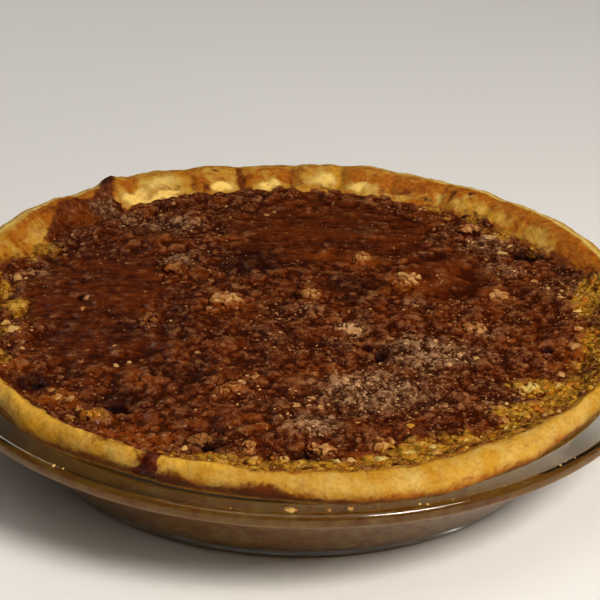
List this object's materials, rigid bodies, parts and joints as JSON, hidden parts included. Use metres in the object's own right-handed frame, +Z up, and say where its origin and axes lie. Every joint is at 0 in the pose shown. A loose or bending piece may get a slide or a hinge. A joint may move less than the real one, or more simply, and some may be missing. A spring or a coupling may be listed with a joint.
{
  "type": "chocolate tart",
  "caption": "Round baked chocolate tart with a crackled nutty filling and a thick rolled golden pastry rim, in its own clear glass dish with a flat flange",
  "frame": {"origin": "middle of the dish's foot, on the surface it stands on", "axes": "+Z up out of the tart; -Y is the side nearest the viewer in the picture; +X to the viewer's right"},
  "size_m": [0.246, 0.246, 0.0487],
  "materials": {
    "glass": "clear, polished",
    "pastry": "baked, matt with a slight sheen",
    "filling": "crackled, half glossy",
    "walnut": "toasted, slightly oily"
  },
  "bodies": {
    "root": {"dish": "glass", "crust": "pastry", "filling": "filling", "walnut_01": "walnut", "walnut_02": "walnut", "walnut_03": "walnut", "walnut_04": "walnut", "walnut_05": "walnut", "walnut_06": "walnut", "walnut_07": "walnut", "walnut_08": "walnut", "walnut_09": "walnut", "walnut_10": "walnut", "walnut_11": "walnut", "walnut_12": "walnut", "walnut_13": "walnut", "walnut_14": "walnut", "walnut_15": "walnut", "walnut_16": "walnut"}
  },
  "joints": []
}
